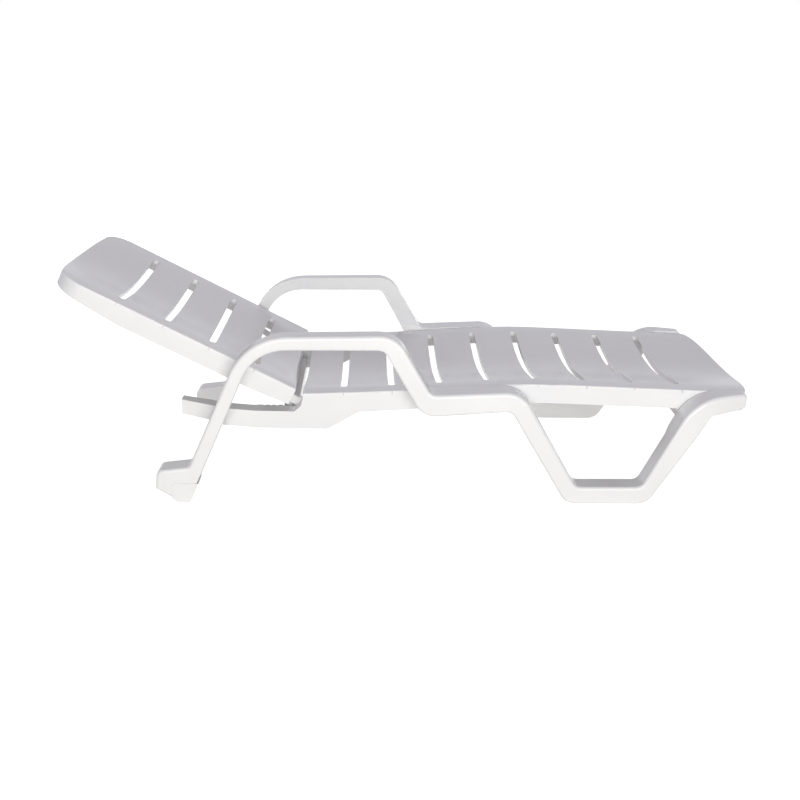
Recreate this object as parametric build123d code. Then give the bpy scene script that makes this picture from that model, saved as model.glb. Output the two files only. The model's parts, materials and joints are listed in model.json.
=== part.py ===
from build123d import *
from math import atan, cos, radians, sin, sqrt
import os

os.makedirs("parts", exist_ok=True)

# Overall sizes, in millimetres. X runs to the foot end from the bed's rear edge, Z is up.
bed_length = 1240.0
arm_height = 478.0
frame_half_width = 364.5
frame_width = 69.5
shoe_wall = 2.5
side_gap = 3.0
foot_inset = 10.0
arm_inset = 19.0
back_length = 709.0
rest_recline = 27.0
deck_fall = 38.0
deck_fall_start = 44.5
deck_fall_radii = [500.0, 800.0, 500.0]
wall = 4.5
overrun = 5.0
seat_gap = 0.3
frame_outer = frame_half_width - shoe_wall
frame_inner = frame_outer - frame_width
foot_inner = frame_inner + foot_inset
arm_inner = frame_inner + arm_inset
deck_half_width = frame_inner - side_gap
deck_fall_slope = atan(deck_fall / (deck_half_width - deck_fall_start))
deck_dish = deck_fall - deck_fall_radii[1] * (1 / cos(deck_fall_slope) - 1)

# Bed: skirt, slots and edge shape
skirt_depth = 55.0
edge_round = 4.0
foot_corner_radius = 26.0
foot_corner_inset = 17.0
foot_bow = 44.0
slot_width = 19.0
slot_margin = 55.5
slot_half_length = deck_half_width - slot_margin
slot_lip_depth = 14.0
slot_lip_wall = 3.0
bed_slot_count = 8
bed_slot_pitch_share = 0.1077
bed_first_slot_share = 0.0895
notch_width = 9.0
notch_depth = 4.0
nick_drop = 8.0
rib_wall = 3.0
rib_drop = 46.0
foot_rib_share = 0.836
foot_rib_drop = 78.0
foot_rib_wall = 8.0
deck_line_shares = [(-0.02, 0.615), (0.194, 0.637), (0.501, 0.6925), (1.05, 0.645)]
deck_line_radii = [6000.0, 2100.0]

# Rails that run back under the backrest
rail_width = 45.0
rail_end_inset = 19.5
rail_end_shift = 8.0
rail_outer = deck_half_width
rail_inner = rail_outer - rail_width
rail_end_outer = rail_outer - rail_end_inset
rail_end_inner = rail_inner - rail_end_shift
rail_bend_share = -0.169
rail_end_share = -0.2687
rail_front_share = 0.2565
rail_shares = [
    (rail_end_share, 0.473),
    (rail_end_share, 0.5605),
    (-0.158, 0.5209),
    (-0.1056, 0.5105),
    (-0.0194, 0.508),
    (-0.0048, 0.5418),
    (0.0005, 0.592),
    (rail_front_share, 0.6255),
    (rail_front_share, 0.5314),
    (0.1234, 0.508),
    (0.0548, 0.4017),
    (-0.096, 0.4059),
    (-0.1766, 0.4205),
    (-0.2105, 0.4477),
]
beam_rear_share = -0.0476
beam_front_share = -0.0153
beam_low_share = 0.405
beam_high_share = 0.473

# Side frame ribbon, as shares of bed length and arm height, with corner radii
frame_round = 9.0
upper_line_shares = [
    (-0.323, 0.082),
    (-0.319, 0.195),
    (-0.2475, 0.2175),
    (-0.115, 0.99),
    (0.2025, 1.008),
    (0.281, 0.664),
    (0.477, 0.688),
    (0.611, 0.1067),
    (0.759, 0.1088),
    (0.860, 0.666),
    (0.981, 0.666),
    (0.981, 0.616),
]
upper_line_radii = [22.0, 14.0, 172.0, 80.0, 25.0, 80.0, 25.0, 25.0, 125.0, 12.0]
lower_line_shares = [
    (0.981, 0.573),
    (0.899, 0.548),
    (0.7755, 0.0),
    (0.590, 0.0),
    (0.4555, 0.569),
    (0.263, 0.5314),
    (0.1765, 0.92),
    (-0.096, 0.914),
    (-0.249, shoe_wall / arm_height),
    (-0.274, shoe_wall / arm_height),
]
lower_line_radii = [12.0, 15.0, 50.0, 50.0, 25.0, 60.0, 25.0, 125.0, 0.0, 0.0]
foot_inner_high_share = 0.40
bed_side_low_share = 0.45
bed_side_high_share = 0.685
arm_inner_low_share = 0.78
taper_start_share = 0.89
taper_inset = 38.0
taper_end_half_width = frame_outer - taper_inset
taper_round = 300.0
rim_slope_share = 0.99

# Rear foot shoe
shoe_rear_share = -0.288
shoe_front_share = -0.22
shoe_height = 57.0
shoe_round = 9.0

# Transport wheel in the toe
wheel_x_share = -0.2855
wheel_z = 50.0
wheel_radius = 36.0
wheel_width = 30.0
wheel_hub_radius = 12.0
wheel_dish_depth = 8.0
wheel_rim_wall = 7.0
axle_radius = 5.0
axle_head_radius = 8.0
axle_head_length = 2.0
axle_depth = 3.0
running_clearance = 0.06

# Screws between side frame and bed
screw_radius = 2.5
screw_head_radius = 6.0
screw_head_length = 3.0
screw_clearance = 0.05
boss_radius = 9.0
boss_depth = 17.0
screw_shares = [(-0.1855, 0.477), (0.3315, 0.607), (0.428, 0.621), (0.936, 0.607)]

# Backrest panel, in its own plane from the hinge pin
hinge_share = (0.0024, 0.5188)
hinge_setback = 45.0
hinge_drop = 43.5
back_skirt_depth = 56.0
back_lip = 2.5
back_end_depth = deck_dish + wall + back_lip
back_taper_start_share = 0.70
back_taper_round = 150.0
back_low_rise = 8.0
back_low_rise_reach = 150.0
back_head_radius = 74.0
back_head_bow = 30.0
back_slot_count = 4
back_slot_pitch_share = 0.1871
back_first_slot_share = 0.1757
back_rim_slope_share = 0.5
ear_side_gap = 3.5
ear_outer = rail_inner - ear_side_gap
ear_radius = 17.0
ear_thickness = 15.0
ear_reach = 85.0
ear_waist_reach = 27.0
ear_waist_height = 7.0
ear_top = 12.0
hinge_pin_radius = 6.0
hinge_pin_head_radius = 10.0
hinge_pin_head_length = 3.7
hinge_pin_depth = 20.0
hinge_boss_radius = 14.0

# Prop that holds the backrest
bail_pivot_reach = 270.5
bail_pivot_drop = 30.0
bail_length = 238.0
bail_bar_radius = 8.0
bail_arm_inset = 33.0
bail_arm_width = 10.0
bail_bar_overhang = 8.5
bail_side_gap = 0.5
bail_eye_radius = 11.0
bail_arm_outer = rail_inner - bail_arm_inset
bail_bar_half_length = bail_arm_outer + bail_bar_overhang
bail_ear_outer = bail_arm_outer - bail_arm_width - bail_side_gap
bail_ear_thickness = 7.0
bail_pin_radius = 5.0
bail_pin_head_radius = 8.0
bail_pin_head_length = 3.0
rack_top_share = 0.4854
rack_top = rack_top_share * arm_height
rack_height = 14.0
rack_width = 36.0
rack_inner = rail_inner - rack_width
rack_rear_share = -0.108
rack_front_share = -0.0177
rack_groove_count = 5
rack_groove_pitch = 18.0
rack_groove_width = 9.0
rack_groove_depth = 3.0


def place(share):
    """Point of the side view from its shares of bed length and arm height."""
    return (share[0] * bed_length, share[1] * arm_height)


def side_prism(face, low, high):
    """Side-view face, drawn as X and Z, extruded across from Y low to Y high."""
    plane = Plane(origin=(0, high, 0), x_dir=(1, 0, 0), z_dir=(0, -1, 0))
    return extrude(plane * face, amount=high - low)


def block(x_low, x_high, y_low, y_high, z_low, z_high):
    """Axis-aligned box between two corners."""
    size = (x_high - x_low, y_high - y_low, z_high - z_low)
    return Pos(x_low, y_low, z_low) * Box(*size, align=(Align.MIN, Align.MIN, Align.MIN))


def cross_pin(x, z, y_low, y_high, radius):
    """Cylinder along Y."""
    plane = Plane(origin=(x, y_low, z), x_dir=(1, 0, 0), z_dir=(0, 1, 0))
    return extrude(plane * Circle(radius), amount=y_high - y_low)


def dish_line(drop, half):
    """Cross-section line of the deck: level rims and a shallow dish, lowered by drop."""
    inner = deck_half_width - deck_fall_start
    points = [(-half, -drop), (-inner, -drop), (0, -deck_fall - drop), (inner, -drop), (half, -drop)]
    return FilletPolyline(*points, radius=deck_fall_radii)


def deck_section(half, top_drop, bottom_drop, corner_round=0):
    """Deck cross-section with a straight lower side."""
    sides = Polyline((half, -top_drop), (half, -bottom_drop), (-half, -bottom_drop), (-half, -top_drop))
    face = make_face([dish_line(top_drop, half), sides])
    if corner_round:
        corners = face.vertices().filter_by(lambda v: v.Y > -bottom_drop / 2 and abs(v.X) > half - corner_round)
        face = fillet(corners, corner_round)
    return face


def band_section(half, top_drop, bottom_drop):
    """Deck cross-section between two parallel dished lines."""
    right = Line((half, -top_drop), (half, -bottom_drop))
    left = Line((-half, -top_drop), (-half, -bottom_drop))
    return make_face([dish_line(top_drop, half), right, dish_line(bottom_drop, half), left])


def swept(section, path):
    """Section carried along a deck line, standing square to its start."""
    start = Plane(origin=path @ 0, x_dir=(0, 1, 0), z_dir=path % 0)
    return sweep(start * section, path=path)


def slot_prism(x, half_length, width, height):
    """Upright prism of a cross slot."""
    return extrude(Pos(x, 0) * Rot(0, 0, 90) * SlotOverall(2 * half_length, width), amount=height)


def parallel(points, radii, distance):
    """Corner points and radii of the line that runs at a distance to the left."""
    vectors = [Vector(*point) for point in points]
    directions = [(b - a).normalized() for a, b in zip(vectors, vectors[1:])]
    normals = [Vector(-d.Y, d.X) for d in directions]
    moved = [vectors[0] + normals[0] * distance]
    new_radii = []
    for i, radius in enumerate(radii):
        before = directions[i]
        after = directions[i + 1]
        turn = before.X * after.Y - before.Y * after.X
        share = (1 - before.dot(after)) / turn
        moved.append(vectors[i + 1] + (normals[i] - before * share) * distance)
        new_radii.append(max(0, radius - distance if turn > 0 else radius + distance))
    moved.append(vectors[-1] + normals[-1] * distance)
    return moved, new_radii


# Bed deck line, plan and shell
def bed_path():
    points = [(x, 0, z) for x, z in (place(share) for share in deck_line_shares)]
    return FilletPolyline(*points, radius=deck_line_radii)


def deck_height(path, x):
    """Height of the deck line at a place along the bed."""
    upright = Line((x, 0, 0), (x, 0, arm_height))
    return path.intersect(upright).vertices()[0].Z


def bed_plan(shrink):
    """Bed from above, bowed at the foot end."""
    corner_x = bed_length - foot_corner_inset - shrink
    half = deck_half_width - shrink
    sides = Polyline((corner_x, -half), (shrink, -half), (shrink, half), (corner_x, half))
    bow = ThreePointArc((corner_x, -half), (corner_x + foot_bow, 0), (corner_x, half))
    face = make_face([sides, bow])
    return fillet(face.vertices().filter_by(lambda v: v.X > corner_x / 2), foot_corner_radius - shrink)


def build_bed():
    """Deck, skirt, slot lips, ribs and rails in one moulding."""
    path = bed_path()
    half = deck_half_width
    inside = half - wall / 2
    bed = swept(deck_section(half, 0, skirt_depth, edge_round), path) & extrude(bed_plan(0), amount=arm_height)
    bed -= swept(deck_section(half, wall, skirt_depth + overrun), path) & extrude(bed_plan(wall), amount=arm_height)
    slot_xs = [(bed_first_slot_share + i * bed_slot_pitch_share) * bed_length for i in range(bed_slot_count)]
    lip_band = swept(band_section(half, wall / 2, slot_lip_depth), path)
    for x in slot_xs:
        bed += lip_band & slot_prism(x, slot_half_length + slot_lip_wall, slot_width + 2 * slot_lip_wall, arm_height)
    rib_band = swept(deck_section(half, wall / 2, rib_drop), path)
    half_pitch = bed_slot_pitch_share * bed_length / 2
    for x in slot_xs[:-1]:
        rib_x = x + half_pitch
        bed += rib_band & block(rib_x, rib_x + rib_wall, -inside, inside, 0, arm_height)
    foot_rib_x = foot_rib_share * bed_length
    foot_rib_band = swept(deck_section(half, wall / 2, foot_rib_drop), path)
    bed += foot_rib_band & block(foot_rib_x, foot_rib_x + foot_rib_wall, -inside, inside, 0, arm_height)
    bed -= rear_lip_clearance(path)
    bed += rails()
    for x in slot_xs:
        bed -= slot_prism(x, slot_half_length, slot_width, arm_height)
        bed -= edge_nicks(x, deck_height(path, x))
    for bore in fastener_bores():
        bed = bed - bore - mirror(bore, about=Plane.XZ)
    return bed


def fastener_bores():
    """Left side's hinge pin bore and screw holes."""
    hinge_x, hinge_z = place(hinge_share)
    pin_end = rail_inner + hinge_pin_depth
    bores = [cross_pin(hinge_x, hinge_z, rail_end_inner, pin_end, hinge_pin_radius + running_clearance)]
    screw_end = frame_inner - boss_depth + wall / 2
    for share in screw_shares:
        x, z = place(share)
        bores.append(cross_pin(x, z, screw_end, frame_inner + overrun, screw_radius + screw_clearance))
    return bores


def rear_lip_clearance(path):
    """Room under the deck's rear edge for the hinge ears."""
    below_lip = swept(deck_section(deck_half_width, slot_lip_depth, skirt_depth + overrun), path)
    return below_lip & block(-overrun, wall + overrun, -rail_inner, rail_inner, 0, arm_height)


def edge_nicks(x, top):
    """Small wedges cut in the top of both long edges at a slot."""
    wedge = make_face(Polyline(
        (x - notch_width / 2, deck_half_width + overrun), (x + notch_width / 2, deck_half_width + overrun),
        (x, deck_half_width - notch_depth), close=True,
    ))
    near = extrude(Pos(0, 0, top - nick_drop) * wedge, amount=2 * nick_drop)
    return near + mirror(near, about=Plane.XZ)


def rail_plan(shrink):
    """Both rails from above, narrowing inward towards their rear ends."""
    rear = rail_end_share * bed_length + shrink
    bend = rail_bend_share * bed_length
    front = rail_front_share * bed_length
    face = make_face(Polyline(
        (front, rail_inner + shrink), (bend, rail_inner + shrink), (rear, rail_end_inner + shrink),
        (rear, rail_end_outer - shrink), (bend, rail_outer - shrink), (front, rail_outer - shrink), close=True,
    ))
    return face


def rails():
    """Left and right rails with their cross beam, prop racks, hinge and screw bosses."""
    outline = make_face(Polyline(*[place(share) for share in rail_shares], close=True))
    hollow = offset(outline, amount=-wall, kind=Kind.INTERSECTION)
    hollow = hollow + Pos(0, -2 * wall) * hollow
    low, high = 0, arm_height
    rail = side_prism(outline, rail_end_inner - overrun, rail_outer) & extrude(rail_plan(0), amount=high)
    core = side_prism(hollow, rail_end_inner, rail_outer) & extrude(rail_plan(wall), amount=high)
    rail -= core
    rear_x = rack_rear_share * bed_length
    front_x = rack_front_share * bed_length
    rack = block(rear_x, front_x, rack_inner, rail_inner + wall / 2, rack_top - rack_height, rack_top)
    rack -= block(rear_x + wall, front_x - wall, rack_inner + wall, rail_inner - wall / 2, 0, rack_top - wall)
    for i in range(rack_groove_count):
        rack -= groove(prop_foot()[0] - i * rack_groove_pitch)
    rail += rack
    hinge_x, hinge_z = place(hinge_share)
    boss_end = rail_inner + hinge_pin_depth + wall
    rail += cross_pin(hinge_x, hinge_z, ear_outer + seat_gap, boss_end, hinge_boss_radius)
    for share in screw_shares:
        x, z = place(share)
        rail += cross_pin(x, z, frame_inner - boss_depth, frame_inner, boss_radius)
    both = rail + mirror(rail, about=Plane.XZ)
    beam_rear = beam_rear_share * bed_length
    beam_front = beam_front_share * bed_length
    beam_low = beam_low_share * arm_height
    beam_high = beam_high_share * arm_height
    reach = rail_inner + wall / 2
    beam = block(beam_rear, beam_front, -reach, reach, beam_low, beam_high)
    inner_reach = rail_inner - wall
    beam -= block(beam_rear + wall, beam_front - wall, -inner_reach, inner_reach, 0, beam_high - wall)
    return both + beam


def groove(x):
    """Shallow V across the top of a prop rack."""
    face = make_face(Polyline(
        (x - rack_groove_width / 2, rack_top), (x + rack_groove_width / 2, rack_top),
        (x, rack_top - rack_groove_depth), close=True,
    ))
    return side_prism(face, rack_inner - overrun, bail_bar_half_length + overrun)


# Side frame: one moulded channel, open on its under side
def frame_corners():
    """Corner points of the upper line, foot end last, and of the lower line back to the toe."""
    upper = [place(share) for share in upper_line_shares]
    lower = [upper[-1]] + [place(share) for share in lower_line_shares] + [upper[0]]
    return upper, lower


def ribbon_face():
    """Side view of the whole channel."""
    upper, lower = frame_corners()
    upper_line = FilletPolyline(*upper, radius=upper_line_radii)
    lower_line = FilletPolyline(*lower, radius=lower_line_radii)
    return make_face([upper_line, lower_line])


def hollow_face():
    """Side view of the space inside the channel, past its open side."""
    upper, lower = frame_corners()
    inner, inner_radii = parallel(upper, upper_line_radii, -wall)
    outer, outer_radii = parallel(lower, lower_line_radii, overrun)
    inner_line = FilletPolyline(*inner, radius=inner_radii)
    outer_line = FilletPolyline(*outer, radius=outer_radii)
    links = [Line(inner[-1], outer[0]), Line(outer[-1], inner[0])]
    return make_face([inner_line, links[0], outer_line, links[1]])


def frame_plan(shrink):
    """Frame from above, drawn in towards the bed at the foot end."""
    rear = shoe_rear_share * bed_length - arm_height
    taper = taper_start_share * bed_length
    front = upper_line_shares[-1][0] * bed_length - shrink
    inner = frame_inner + shrink
    outer = frame_outer - shrink
    line = FilletPolyline(
        (rear, inner), (rear, outer), (taper, outer), (front, taper_end_half_width - shrink),
        radius=[0, taper_round],
    )
    return make_face([line, Polyline((front, taper_end_half_width - shrink), (front, inner), (rear, inner))])


def frame_section(shrink):
    """Space between the frame's outer side and its stepped inner side, as a prism along the bed."""
    levels = [-overrun, foot_inner_high_share * arm_height, bed_side_low_share * arm_height]
    levels += [bed_side_high_share * arm_height, arm_inner_low_share * arm_height, 2 * arm_height]
    sides = [foot_inner, foot_inner, frame_inner, frame_inner, arm_inner, arm_inner]
    inner_line = [(y + shrink, z) for y, z in zip(sides, levels)]
    outer = frame_outer + overrun
    face = make_face(Polyline(*inner_line, (outer, levels[-1]), (outer, levels[0]), close=True))
    plane = Plane(origin=(-bed_length, 0, 0), x_dir=(0, 1, 0), z_dir=(1, 0, 0))
    return extrude(plane * face, amount=3 * bed_length)


def is_outer_rim(edge):
    """Whether an edge runs around the frame's outer side, and isn't a seam where it starts to taper."""
    middle = edge @ 0.5
    along = all((edge @ t).Y > taper_end_half_width - seat_gap for t in (0, 0.5, 1))
    low = taper_start_share * bed_length - taper_round / 2
    high = upper_line_shares[-1][0] * bed_length - overrun
    seam = low < middle.X < high and abs((edge % 0.5).Z) > rim_slope_share
    return along and not seam


def build_side_frame():
    """Left side frame: ribbon, channel, axle bore and screw holes."""
    high = 2 * arm_height
    body = side_prism(ribbon_face(), frame_inner, frame_outer) & extrude(frame_plan(0), amount=high)
    body = fillet(body.edges().filter_by(is_outer_rim), frame_round) & frame_section(0)
    core = side_prism(hollow_face(), frame_inner + wall, frame_outer - wall)
    core &= extrude(Pos(0, 0, -overrun) * frame_plan(wall), amount=high)
    frame = body - (core & frame_section(wall))
    wheel_x = wheel_x_share * bed_length
    axle_end = frame_outer - wall + axle_depth
    frame -= cross_pin(wheel_x, wheel_z, 0, axle_end + seat_gap, axle_radius + running_clearance)
    for share in screw_shares:
        x, z = place(share)
        frame -= cross_pin(x, z, 0, frame_inner + wall + overrun, screw_radius + screw_clearance)
    return frame


# Small pieces of the left side
def build_shoe():
    """Cap that wraps the foot's outer side, sole and edges."""
    ribbon = ribbon_face()
    grown = offset(ribbon, amount=shoe_wall, kind=Kind.INTERSECTION)
    rear = shoe_rear_share * bed_length
    front = shoe_front_share * bed_length
    window = make_face(Polyline((rear, -overrun), (front, -overrun), (front, shoe_height), (rear, shoe_height), close=True))
    window = fillet(window.vertices().filter_by(lambda v: v.Y > 0), shoe_round)
    side = grown & window
    cap = side_prism(side, foot_inner, frame_half_width)
    cap = fillet(cap.faces().sort_by(Axis.Y)[-1].edges(), shoe_wall / 2)
    snug = offset(ribbon, amount=seat_gap / 2, kind=Kind.INTERSECTION)
    return cap - side_prism(snug, 0, frame_outer + seat_gap / 2)


def build_wheel():
    """Wheel with a dished web and a long hub between the channel's walls."""
    x = wheel_x_share * bed_length
    low = foot_inner + wall + seat_gap
    high = frame_outer - wall - seat_gap
    middle = (low + high) / 2
    wheel = cross_pin(x, wheel_z, middle - wheel_width / 2, middle + wheel_width / 2, wheel_radius)
    wheel = chamfer(wheel.edges(), edge_round / 2)
    for sign in (-1, 1):
        face_y = middle + sign * wheel_width / 2
        inner_y = face_y - sign * wheel_dish_depth
        y_low, y_high = min(face_y, inner_y), max(face_y, inner_y)
        wheel -= cross_pin(x, wheel_z, y_low, y_high, wheel_radius - wheel_rim_wall)
    wheel += cross_pin(x, wheel_z, low, high, wheel_hub_radius)
    return wheel - cross_pin(x, wheel_z, low, high, axle_radius + running_clearance)


def build_axle():
    x = wheel_x_share * bed_length
    shaft = cross_pin(x, wheel_z, foot_inner, frame_outer - wall + axle_depth, axle_radius)
    return shaft + cross_pin(x, wheel_z, foot_inner - axle_head_length, foot_inner, axle_head_radius)


def build_screws():
    """Screws from inside the channel into the bed's bosses."""
    screws = []
    for share in screw_shares:
        x, z = place(share)
        head_low = frame_inner + wall
        screw = cross_pin(x, z, head_low, head_low + screw_head_length, screw_head_radius)
        screws.append(screw + cross_pin(x, z, frame_inner - boss_depth + wall, head_low, screw_radius))
    return screws


def build_hinge_pin():
    x, z = place(hinge_share)
    head_high = ear_outer - ear_thickness - seat_gap
    pin = cross_pin(x, z, head_high - hinge_pin_head_length, head_high, hinge_pin_head_radius)
    return pin + cross_pin(x, z, head_high, rail_inner + hinge_pin_depth - seat_gap, hinge_pin_radius)


# Backrest, drawn flat with the hinge axis at its origin, reach along X and height along Z
def back_plan(shrink):
    """Panel from above, with a bowed edge and rounded corners at the head."""
    low = hinge_setback + shrink
    high = hinge_setback + back_length - shrink
    head_corner = high - back_head_bow
    wide = deck_half_width - shrink
    sides = Polyline((head_corner, wide), (low, wide), (low, -wide), (head_corner, -wide))
    bow = ThreePointArc((head_corner, wide), (high, 0), (head_corner, -wide))
    face = make_face([sides, bow])
    heads = face.vertices().filter_by(lambda v: v.X > low + overrun)
    return fillet(heads, back_head_radius - shrink)


def back_band(section):
    """Cross-section carried straight along the back, its edge line at the drop over the hinge."""
    plane = Plane(origin=(0, 0, hinge_drop), x_dir=(0, 1, 0), z_dir=(1, 0, 0))
    return extrude(plane * section, amount=hinge_setback + back_length + overrun)


def build_backrest():
    """Panel, slots, hinge ears and prop ears in one moulding, still lying flat."""
    half = deck_half_width
    low = hinge_drop - back_skirt_depth - overrun
    tall = back_skirt_depth + 2 * overrun
    panel = back_band(deck_section(half + overrun, 0, back_skirt_depth))
    panel &= extrude(Pos(0, 0, low) * back_plan(0), amount=tall)
    rim = [edge for edge in panel.edges() if is_back_rim(edge)]
    panel = fillet(rim, edge_round)
    hollow = back_band(deck_section(half + overrun, wall, back_skirt_depth + overrun))
    hollow &= extrude(Pos(0, 0, low) * back_plan(wall), amount=tall)
    panel = (panel - hollow) & back_side_prism() - back_wall_notch()
    lips = back_band(band_section(half, wall / 2, slot_lip_depth))
    ribs = back_band(deck_section(half, wall / 2, back_end_depth))
    lip_reach = slot_half_length + slot_lip_wall
    slot_xs = [hinge_setback + (back_first_slot_share + i * back_slot_pitch_share) * back_length for i in range(back_slot_count)]
    for x in slot_xs:
        panel += lips & Pos(0, 0, low) * slot_prism(x, lip_reach, slot_width + 2 * slot_lip_wall, tall)
    for x in slot_xs[1:]:
        rib_x = x + back_slot_pitch_share * back_length / 2
        panel += ribs & block(rib_x, rib_x + rib_wall, -half + wall / 2, half - wall / 2, low, low + tall)
    panel += hinge_ears() + prop_ears()
    for x in slot_xs:
        panel -= Pos(0, 0, low) * slot_prism(x, slot_half_length, slot_width, tall)
        panel -= Pos(0, 0, hinge_drop - nick_drop) * back_nicks(x)
    return panel


def back_side_prism():
    """Side view of the back, whose skirt grows shallower towards both ends, as a prism across."""
    rear = hinge_setback - overrun
    head = hinge_setback + back_length + overrun
    taper = hinge_setback + back_taper_start_share * back_length
    low = hinge_drop - back_skirt_depth
    raised = low + back_low_rise
    line = FilletPolyline(
        (rear, raised), (back_low_rise_reach, low), (taper, low), (head, hinge_drop - back_end_depth),
        radius=back_taper_round,
    )
    top = hinge_drop + overrun
    closing = Polyline((head, hinge_drop - back_end_depth), (head, top), (rear, top), (rear, raised))
    return side_prism(make_face([line, closing]), -frame_half_width, frame_half_width)


def back_wall_notch():
    """Room for the prop's arms under the low end wall, between the hinge ears."""
    low = hinge_drop - back_skirt_depth - overrun
    inside = ear_outer - ear_thickness
    return block(hinge_setback - overrun, hinge_setback + wall + overrun, -inside, inside, low, hinge_drop - back_end_depth)


def back_nicks(x):
    """Small wedges cut in both edges of the back at a slot."""
    wedge = make_face(Polyline(
        (x - notch_width / 2, deck_half_width + overrun), (x + notch_width / 2, deck_half_width + overrun),
        (x, deck_half_width - notch_depth), close=True,
    ))
    near = extrude(wedge, amount=2 * nick_drop)
    return near + mirror(near, about=Plane.XZ)


def is_back_rim(edge):
    """Whether an edge is on the rim of the dished surface, not along its inside."""
    lowest = min((edge @ t).Z for t in (0, 0.5, 1))
    level = max(abs((edge % t).Z) for t in (0.1, 0.9))
    inside = abs((edge @ 0.5).Y) < deck_half_width - overrun and abs((edge % 0.5).X) > rim_slope_share
    return lowest > hinge_drop - deck_dish - overrun and level < back_rim_slope_share and not inside


def hinge_ears():
    """Ears under the low end that reach forward to the hinge pin."""
    low = hinge_drop - back_skirt_depth
    inner = ear_outer - ear_thickness
    side = make_face(Polyline(
        (ear_reach, ear_top), (hinge_setback, ear_top), (ear_waist_reach, ear_waist_height), (0, ear_radius),
        (0, -ear_radius), (hinge_setback, low), (ear_reach, low), close=True,
    ))
    side += Circle(ear_radius)
    under = back_band(deck_section(deck_half_width, wall / 2, back_skirt_depth))
    web = block(hinge_setback, ear_reach, inner, ear_outer, low, hinge_drop)
    ear = side_prism(side, inner, ear_outer) + (under & web)
    ear -= cross_pin(0, 0, 0, ear_outer + overrun, hinge_pin_radius + running_clearance)
    return ear + mirror(ear, about=Plane.XZ)


def prop_ears():
    """Ears under the back that the prop's arms pivot on."""
    z = hinge_drop - bail_pivot_drop
    low = bail_ear_outer - bail_ear_thickness
    under = back_band(deck_section(deck_half_width, wall / 2, back_skirt_depth + hinge_drop))
    web = block(bail_pivot_reach - bail_eye_radius, bail_pivot_reach + bail_eye_radius, low, bail_ear_outer, z, hinge_drop)
    ear = (under & web) + cross_pin(bail_pivot_reach, z, low, bail_ear_outer, bail_eye_radius)
    ear -= cross_pin(bail_pivot_reach, z, low, bail_ear_outer, bail_pin_radius + running_clearance)
    return ear + mirror(ear, about=Plane.XZ)


def reclined(shape):
    """Back piece turned to the rest angle about the hinge, pointing to the rear."""
    x, z = place(hinge_share)
    tilt = radians(rest_recline)
    plane = Plane(origin=(x, 0, z), x_dir=(-cos(tilt), 0, sin(tilt)), z_dir=(sin(tilt), 0, cos(tilt)))
    return plane.location * shape


# Prop
def build_prop():
    """Two arms on the back's ears and the bar that stands on the racks."""
    pivot_x, pivot_z = back_point(bail_pivot_reach, -bail_pivot_drop)
    foot_x, foot_z = prop_foot()
    bar = cross_pin(foot_x, foot_z, -bail_bar_half_length, bail_bar_half_length, bail_bar_radius)
    along = Vector(foot_x - pivot_x, foot_z - pivot_z).normalized()
    side = Vector(-along.Y, along.X) * bail_bar_radius
    pivot = Vector(pivot_x, pivot_z)
    foot = Vector(foot_x, foot_z)
    arm_side = make_face(Polyline(pivot + side, foot + side, foot - side, pivot - side, close=True))
    arm_side = arm_side + Pos(pivot_x, pivot_z) * Circle(bail_eye_radius) + Pos(foot_x, foot_z) * Circle(bail_bar_radius)
    arm = side_prism(arm_side, bail_arm_outer - bail_arm_width, bail_arm_outer)
    arm -= cross_pin(pivot_x, pivot_z, 0, bail_arm_outer + overrun, bail_pin_radius + running_clearance)
    return bar + arm + mirror(arm, about=Plane.XZ)


def build_prop_pin():
    x, z = back_point(bail_pivot_reach, -bail_pivot_drop)
    head_high = bail_ear_outer - bail_ear_thickness
    pin = cross_pin(x, z, head_high - bail_pin_head_length, head_high, bail_pin_head_radius)
    return pin + cross_pin(x, z, head_high, bail_arm_outer + bail_pin_head_length, bail_pin_radius)


def prop_foot():
    """Where the prop's cross bar stands on the racks, from the pivot on the reclined back."""
    pivot_x, pivot_z = back_point(bail_pivot_reach, -bail_pivot_drop)
    bar_z = rack_top + seat_gap + bail_bar_radius
    return pivot_x + sqrt(bail_length**2 - (pivot_z - bar_z) ** 2), bar_z


def back_point(reach, above_edge):
    """Side-view point from its reach along the back and height over the deck edge line."""
    hinge_x, hinge_z = place(hinge_share)
    tilt = radians(rest_recline)
    height = hinge_drop + above_edge
    return hinge_x - reach * cos(tilt) + height * sin(tilt), hinge_z + reach * sin(tilt) + height * cos(tilt)


# All nodes, moved together so that the origin is under the middle of the whole at rest
def build_all():
    left = {
        "side_frame": build_side_frame(),
        "rear_foot_shoe": build_shoe(),
        "rear_wheel": build_wheel(),
        "wheel_axle": build_axle(),
        "back_hinge_pin": build_hinge_pin(),
        "bail_pin": build_prop_pin(),
        "frame_screws": Compound(children=build_screws()),
    }
    nodes = {
        "bed_base": build_bed(),
        "backrest_panel": reclined(build_backrest()),
        "support_bail": build_prop(),
    }
    for name, shape in left.items():
        nodes[name + "_left"] = shape
        nodes[name + "_right"] = mirror(shape, about=Plane.XZ)
    return nodes


nodes = build_all()
low_x = min(shape.bounding_box().min.X for shape in nodes.values())
high_x = max(shape.bounding_box().max.X for shape in nodes.values())
low_z = min(shape.bounding_box().min.Z for shape in nodes.values())
centre = Pos(-(low_x + high_x) / 2, 0, -low_z)
for name, shape in nodes.items():
    export_step(centre * shape, f"parts/{name}.step")

hinge_x, hinge_z = place(hinge_share)
pivot_x, pivot_z = back_point(bail_pivot_reach, -bail_pivot_drop)
foot_x, foot_z = prop_foot()
wheel_x = wheel_x_share * bed_length
shift_x = -(low_x + high_x) / 2
print("shift", shift_x, -low_z)
print("hinge", hinge_x + shift_x, hinge_z - low_z)
print("prop pivot", pivot_x + shift_x, pivot_z - low_z)
print("prop foot", foot_x + shift_x, foot_z - low_z)
print("wheel", wheel_x + shift_x, wheel_z - low_z)
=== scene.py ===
import json
from math import cos, radians, sin

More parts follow.
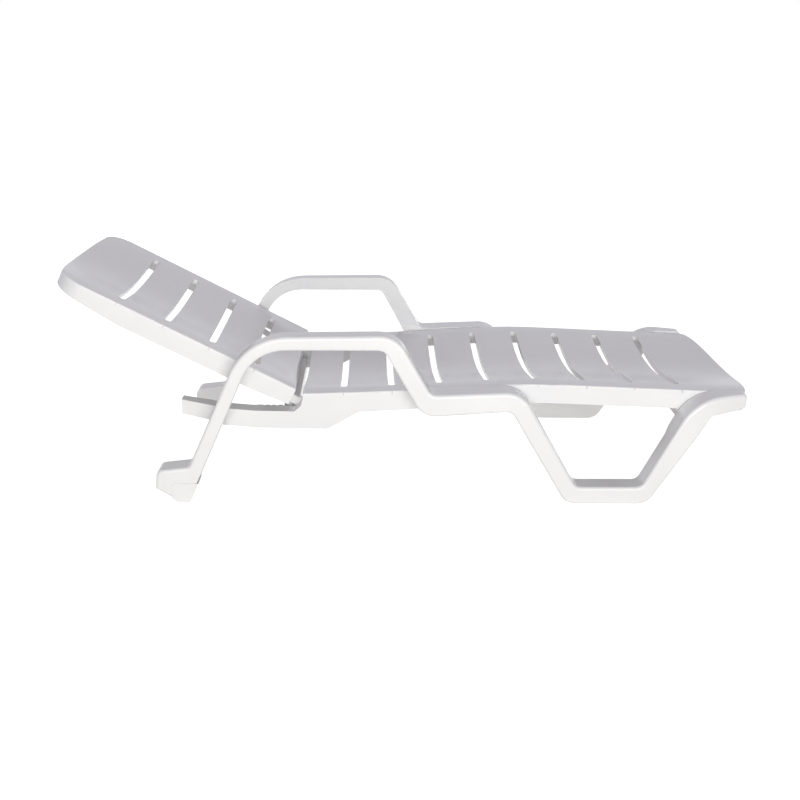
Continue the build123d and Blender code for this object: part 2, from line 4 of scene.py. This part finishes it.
import bpy
from mathutils import Matrix, Vector


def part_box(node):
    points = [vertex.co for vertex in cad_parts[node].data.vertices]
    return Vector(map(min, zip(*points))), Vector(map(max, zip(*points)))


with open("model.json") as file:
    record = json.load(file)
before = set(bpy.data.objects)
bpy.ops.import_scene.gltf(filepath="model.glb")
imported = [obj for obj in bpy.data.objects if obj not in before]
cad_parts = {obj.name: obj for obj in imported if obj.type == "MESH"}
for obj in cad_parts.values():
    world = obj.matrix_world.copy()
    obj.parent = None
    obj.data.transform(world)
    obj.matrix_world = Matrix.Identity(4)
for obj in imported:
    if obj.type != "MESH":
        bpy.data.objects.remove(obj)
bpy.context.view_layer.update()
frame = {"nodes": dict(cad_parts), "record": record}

# Camera, fitted to the photograph. The position is measured back from the bed's foot end.
CAMERA_BACK = 1.0924
CAMERA_SIDE = -2.7585
CAMERA_HEIGHT = 1.1935
CAMERA_YAW = radians(2.128)
CAMERA_PITCH = radians(20.307)
CAMERA_ROLL = radians(1.276)
SENSOR_WIDTH = 36.0
IMAGE_WIDTH = 800
FOCAL_PIXELS = 960.0

# Noise patterns, each with its scale and detail, and the part of their range that is used
TINT_NOISE = (5.0, 3.0)
GLOSS_NOISE = (3.0, 1.0)
PEEL_NOISE = (700.0, 2.0)
STEEL_TINT_NOISE = (60.0, 3.0)
STEEL_GLOSS_NOISE = (300.0, 4.0)
NOISE_LOW = 0.3
NOISE_HIGH = 0.7

# Plastic finish. The gloss drift stays clear of a roughness of 0.274, where the denoiser draws a line.
PLASTIC_IOR = 1.5
COAT_ROUGHNESS = 0.12
GLOSS_DRIFT = 0.02
PEEL_STRENGTH = 0.03
PEEL_DEPTH = 0.0002
BEVEL_SAMPLES = 6

# Each plastic's light tint, dark tint, roughness, coat and edge radius
PLASTICS = {
    "white_plastic": ((0.87, 0.87, 0.86), (0.84, 0.84, 0.84), 0.25, 0.25, 0.0015),
    "shoe_plastic": ((0.87, 0.87, 0.86), (0.84, 0.84, 0.83), 0.30, 0.2, 0.0008),
    "prop_plastic": ((0.84, 0.84, 0.83), (0.80, 0.80, 0.80), 0.34, 0.1, 0.001),
    "wheel_plastic": ((0.80, 0.80, 0.78), (0.74, 0.74, 0.73), 0.45, 0.0, 0.001),
    "pin_plastic": ((0.82, 0.82, 0.81), (0.78, 0.78, 0.78), 0.4, 0.0, 0.0006),
}

# Screw steel
STEEL_LIGHT = (0.72, 0.72, 0.74)
STEEL_DARK = (0.55, 0.55, 0.58)
STEEL_SMOOTH = 0.28
STEEL_ROUGH = 0.45

# Studio
FLOOR_SIZE = 30.0
FLOOR_DROP = 0.0005
FLOOR_PAINT = (0.82, 0.81, 0.76, 1.0)
FLOOR_GLOW = 0.89
AMBIENT = (0.207, 0.197, 0.236, 1.0)
BACKGROUND = (1.0, 1.0, 1.0, 1.0)

# Each lamp's place, aim, size, power and colour, and whether glossy surfaces mirror it
LAMPS = {
    "key": ((0.2, -4.2, 1.0), (0.0, 0.0, 0.25), (4.0, 1.6), 131.0, (1.0, 1.0, 0.97), True),
    "top": ((0.0, 0.6, 3.2), (0.0, 0.0, 0.3), (3.0, 2.0), 11.0, (0.93, 0.9, 1.0), True),
    "fill": ((-0.2, 4.0, 0.55), (0.0, 0.0, 0.3), (4.0, 0.8), 45.0, (0.97, 0.97, 1.0), False),
}


# Node helpers
def new_material(name):
    """Empty node material with its tree and output."""
    material = bpy.data.materials.new(name)
    material.use_nodes = True
    tree = material.node_tree
    tree.nodes.clear()
    return material, tree, tree.nodes.new("ShaderNodeOutputMaterial")


def noise(tree, pattern):
    """Noise over the object's own coordinates."""
    scale, detail = pattern
    place = tree.nodes.new("ShaderNodeTexCoord")
    texture = tree.nodes.new("ShaderNodeTexNoise")
    texture.inputs["Scale"].default_value = scale
    texture.inputs["Detail"].default_value = detail
    tree.links.new(place.outputs["Object"], texture.inputs["Vector"])
    return texture.outputs["Fac"]


def spread(tree, source, low, high):
    """The used part of a noise's range, eased from a low to a high value."""
    mapped = tree.nodes.new("ShaderNodeMapRange")
    mapped.interpolation_type = "SMOOTHSTEP"
    mapped.inputs["From Min"].default_value = NOISE_LOW
    mapped.inputs["From Max"].default_value = NOISE_HIGH
    mapped.inputs["To Min"].default_value = low
    mapped.inputs["To Max"].default_value = high
    tree.links.new(source, mapped.inputs["Value"])
    return mapped.outputs["Result"]


def tinted(tree, source, light, dark):
    """Colour between two tints, mixed by the used part of a noise's range."""
    mix = tree.nodes.new("ShaderNodeMix")
    mix.data_type = "RGBA"
    mix.inputs["A"].default_value = (*light, 1.0)
    mix.inputs["B"].default_value = (*dark, 1.0)
    tree.links.new(spread(tree, source, 0.0, 1.0), mix.inputs["Factor"])
    return mix.outputs["Result"]


def background_ray(tree):
    """One where a ray should see the plain white studio: camera, glossy and transmission rays."""
    path = tree.nodes.new("ShaderNodeLightPath")
    seen = path.outputs["Is Camera Ray"]
    for name in ("Is Glossy Ray", "Is Transmission Ray"):
        either = tree.nodes.new("ShaderNodeMath")
        either.operation = "MAXIMUM"
        tree.links.new(seen, either.inputs[0])
        tree.links.new(path.outputs[name], either.inputs[1])
        seen = either.outputs["Value"]
    return seen


# Materials
def moulded_plastic(name, light, dark, roughness, coat, edge):
    """Moulded plastic: faint tint drift, uneven gloss, fine orange peel and softened edges."""
    material, tree, output = new_material(name)
    shader = tree.nodes.new("ShaderNodeBsdfPrincipled")
    shader.inputs["IOR"].default_value = PLASTIC_IOR
    shader.inputs["Coat Weight"].default_value = coat
    shader.inputs["Coat Roughness"].default_value = COAT_ROUGHNESS
    tint = tinted(tree, noise(tree, TINT_NOISE), light, dark)
    tree.links.new(tint, shader.inputs["Base Color"])
    gloss = spread(tree, noise(tree, GLOSS_NOISE), roughness - GLOSS_DRIFT, roughness + GLOSS_DRIFT)
    tree.links.new(gloss, shader.inputs["Roughness"])
    bevel = tree.nodes.new("ShaderNodeBevel")
    bevel.samples = BEVEL_SAMPLES
    bevel.inputs["Radius"].default_value = edge
    peel = tree.nodes.new("ShaderNodeBump")
    peel.inputs["Strength"].default_value = PEEL_STRENGTH
    peel.inputs["Distance"].default_value = PEEL_DEPTH
    tree.links.new(noise(tree, PEEL_NOISE), peel.inputs["Height"])
    tree.links.new(bevel.outputs["Normal"], peel.inputs["Normal"])
    tree.links.new(peel.outputs["Normal"], shader.inputs["Normal"])
    tree.links.new(shader.outputs["BSDF"], output.inputs["Surface"])
    return material


def plated_steel(name):
    """Zinc-plated screw steel with a drifting tint and gloss."""
    material, tree, output = new_material(name)
    shader = tree.nodes.new("ShaderNodeBsdfPrincipled")
    shader.inputs["Metallic"].default_value = 1.0
    tint = tinted(tree, noise(tree, STEEL_TINT_NOISE), STEEL_LIGHT, STEEL_DARK)
    tree.links.new(tint, shader.inputs["Base Color"])
    gloss = spread(tree, noise(tree, STEEL_GLOSS_NOISE), STEEL_SMOOTH, STEEL_ROUGH)
    tree.links.new(gloss, shader.inputs["Roughness"])
    tree.links.new(shader.outputs["BSDF"], output.inputs["Surface"])
    return material


def dress_nodes():
    """Each node takes the material of its slot in the record."""
    materials = {name: moulded_plastic(name, *finish) for name, finish in PLASTICS.items()}
    materials["screw_steel"] = plated_steel("screw_steel")
    slots = {part["node"]: part["material_slot"] for part in frame["record"]["subparts"]}
    for name, node in frame["nodes"].items():
        for slot in node.material_slots:
            slot.material = materials[slots[name]]


# Studio
def add_floor():
    """White floor that takes the object's shadow and glows white to the camera."""
    material, tree, output = new_material("floor")
    paint = tree.nodes.new("ShaderNodeBsdfDiffuse")
    paint.inputs["Color"].default_value = FLOOR_PAINT
    glow = tree.nodes.new("ShaderNodeEmission")
    strength = tree.nodes.new("ShaderNodeMath")
    strength.operation = "MULTIPLY"
    strength.inputs[1].default_value = FLOOR_GLOW
    both = tree.nodes.new("ShaderNodeAddShader")
    tree.links.new(background_ray(tree), strength.inputs[0])
    tree.links.new(strength.outputs["Value"], glow.inputs["Strength"])
    tree.links.new(paint.outputs["BSDF"], both.inputs[0])
    tree.links.new(glow.outputs["Emission"], both.inputs[1])
    tree.links.new(both.outputs["Shader"], output.inputs["Surface"])
    bpy.ops.mesh.primitive_plane_add(size=FLOOR_SIZE, location=(0, 0, -FLOOR_DROP))
    floor = bpy.context.object
    floor.name = "floor"
    floor.data.materials.append(material)


def add_world():
    """White to the camera, a soft grey to everything else."""
    world = bpy.data.worlds.new("studio")
    world.use_nodes = True
    tree = world.node_tree
    tree.nodes.clear()
    output = tree.nodes.new("ShaderNodeOutputWorld")
    soft = tree.nodes.new("ShaderNodeBackground")
    soft.inputs["Color"].default_value = AMBIENT
    white = tree.nodes.new("ShaderNodeBackground")
    white.inputs["Color"].default_value = BACKGROUND
    mix = tree.nodes.new("ShaderNodeMixShader")
    tree.links.new(background_ray(tree), mix.inputs["Fac"])
    tree.links.new(soft.outputs["Background"], mix.inputs[1])
    tree.links.new(white.outputs["Background"], mix.inputs[2])
    tree.links.new(mix.outputs["Shader"], output.inputs["Surface"])
    bpy.context.scene.world = world


def add_lamp(name, place, aim, size, power, colour, mirrored):
    """Soft box that looks at a point. Glossy surfaces show it only where it is mirrored."""
    light = bpy.data.lights.new(name, "AREA")
    light.shape = "RECTANGLE"
    light.size, light.size_y = size
    light.energy = power
    light.color = colour
    lamp = bpy.data.objects.new(name, light)
    lamp.visible_glossy = mirrored
    lamp.location = place
    lamp.rotation_euler = (Vector(aim) - Vector(place)).to_track_quat("-Z", "Y").to_euler()
    bpy.context.collection.objects.link(lamp)


def add_camera():
    """Camera with the photograph's place, turn and lens."""
    forward = Vector((
        sin(CAMERA_YAW) * cos(CAMERA_PITCH), cos(CAMERA_YAW) * cos(CAMERA_PITCH), -sin(CAMERA_PITCH),
    ))
    level = Vector((cos(CAMERA_YAW), -sin(CAMERA_YAW), 0))
    upright = level.cross(forward)
    right = level * cos(CAMERA_ROLL) + upright * sin(CAMERA_ROLL)
    up = upright * cos(CAMERA_ROLL) - level * sin(CAMERA_ROLL)
    foot_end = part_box("bed_base")[1][0]
    turn = Matrix((right, up, -forward)).transposed().to_4x4()
    data = bpy.data.cameras.new("camera")
    data.sensor_width = SENSOR_WIDTH
    data.lens = FOCAL_PIXELS / IMAGE_WIDTH * SENSOR_WIDTH
    camera = bpy.data.objects.new("camera", data)
    camera.matrix_world = Matrix.Translation((foot_end - CAMERA_BACK, CAMERA_SIDE, CAMERA_HEIGHT)) @ turn
    bpy.context.collection.objects.link(camera)
    bpy.context.scene.camera = camera


dress_nodes()
add_floor()
add_world()
for lamp_name, lamp_values in LAMPS.items():
    add_lamp(lamp_name, *lamp_values)
add_camera()
bpy.context.scene.view_settings.view_transform = "Standard"
